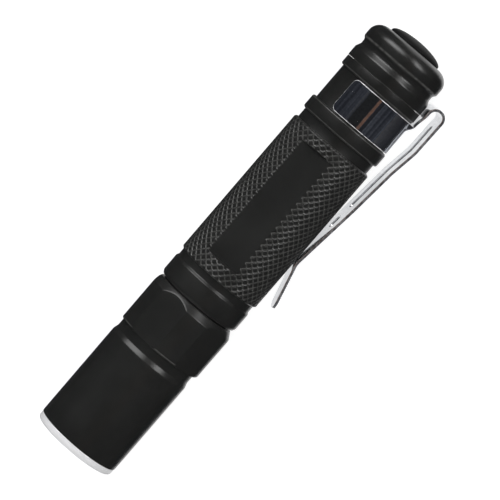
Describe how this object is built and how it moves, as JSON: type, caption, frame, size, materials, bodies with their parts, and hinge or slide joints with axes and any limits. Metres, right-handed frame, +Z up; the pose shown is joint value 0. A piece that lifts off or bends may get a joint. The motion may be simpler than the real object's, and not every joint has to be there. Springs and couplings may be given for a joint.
{
  "type": "penlight",
  "caption": "Slim black pocket penlight: screw-off head with lens and reflector, knurled cell tube, sprung steel pocket clip and push-button tail cap.",
  "frame": {"origin": "centre of the bright front ring's face, on the light's axis", "axes": "+X along the axis, out of the lens with the beam; +Z up, with the light lying on a table, rolled onto its clip; +Y to the side where the clip touches the table"},
  "size_m": [0.0793, 0.0174, 0.0145],
  "materials": {
    "anodised_black": "satin",
    "bare_aluminium": "polished",
    "lens_glass": "polished",
    "reflector_mirror": "polished",
    "seal_rubber": "matte",
    "button_rubber": "matte",
    "led_ceramic": "matte",
    "led_phosphor": "gloss",
    "board_white": "satin",
    "board_green": "satin",
    "brass": "satin",
    "gold_contact": "polished",
    "coil_copper": "satin",
    "wire_sleeve": "satin",
    "black_plastic": "satin",
    "white_plastic": "satin",
    "cell_can": "satin",
    "cell_jacket": "gloss",
    "spring_steel": "polished",
    "clip_steel": "polished"
  },
  "bodies": {
    "tube": {"body_tube": "anodised_black", "battery_can": "cell_can", "battery_jacket": "cell_jacket", "battery_cap": "spring_steel", "battery_washer": "white_plastic"},
    "head_seal": {"head_o_ring": "seal_rubber"},
    "head": {"head_shell": "anodised_black", "bezel_ring": "bare_aluminium", "lens": "lens_glass", "lens_seal": "seal_rubber", "reflector": "reflector_mirror", "led_spacer": "white_plastic", "led_dome": "led_phosphor", "led_package": "led_ceramic", "led_board": "board_white", "led_pill": "brass", "led_wires": "wire_sleeve", "driver_board": "board_green", "driver_coil": "coil_copper", "driver_chips": "black_plastic", "contact_button": "gold_contact"},
    "tail_seal": {"tail_o_ring": "seal_rubber"},
    "tail": {"tail_cap": "anodised_black", "switch_ring": "brass", "tail_board": "board_green", "tail_spring": "spring_steel", "switch_housing": "black_plastic", "switch_contacts": "gold_contact", "switch_spring": "spring_steel"},
    "button": {"boot_button": "button_rubber", "switch_plunger": "white_plastic"},
    "clip": {"clip_band": "clip_steel"},
    "clip_arm": {"clip_arm": "clip_steel"}
  },
  "joints": [
    {"name": "head_turn", "type": "hinge", "parent": "tube", "child": "head_seal", "pos_m": [-0.0279, 0, 0], "axis": [1, 0, 0], "range_deg": [0, 1440]},
    {"name": "head_advance", "type": "slide", "parent": "head_seal", "child": "head", "axis": [1, 0, 0], "range_m": [0, 0.0032]},
    {"name": "tail_advance", "type": "slide", "parent": "tube", "child": "tail_seal", "axis": [-1, 0, 0], "range_m": [0, 0.003]},
    {"name": "tail_turn", "type": "hinge", "parent": "tail_seal", "child": "tail", "pos_m": [-0.0707, 0, 0], "axis": [-1, 0, 0], "range_deg": [0, 1440]},
    {"name": "button_press", "type": "slide", "parent": "tail", "child": "button", "axis": [1, 0, 0], "range_m": [0, 0.0012], "stiffness_N_per_m": 1500, "deforming": ["switch_spring"]},
    {"name": "clip_swivel", "type": "hinge", "parent": "tube", "child": "clip", "pos_m": [-0.0664, 0, 0], "axis": [1, 0, 0], "continuous": true},
    {"name": "clip_flex", "type": "hinge", "parent": "clip", "child": "clip_arm", "pos_m": [-0.07348, 0.00769, -0.0041], "axis": [0, 0.4705, 0.8824], "range_deg": [0, 5], "stiffness_Nm_per_rad": 1}
  ],
  "couplings": [
    {"joint": "head_turn", "follows": "head_advance", "rad_per_m": 7854},
    {"joint": "tail_turn", "follows": "tail_advance", "rad_per_m": 8377.6}
  ]
}
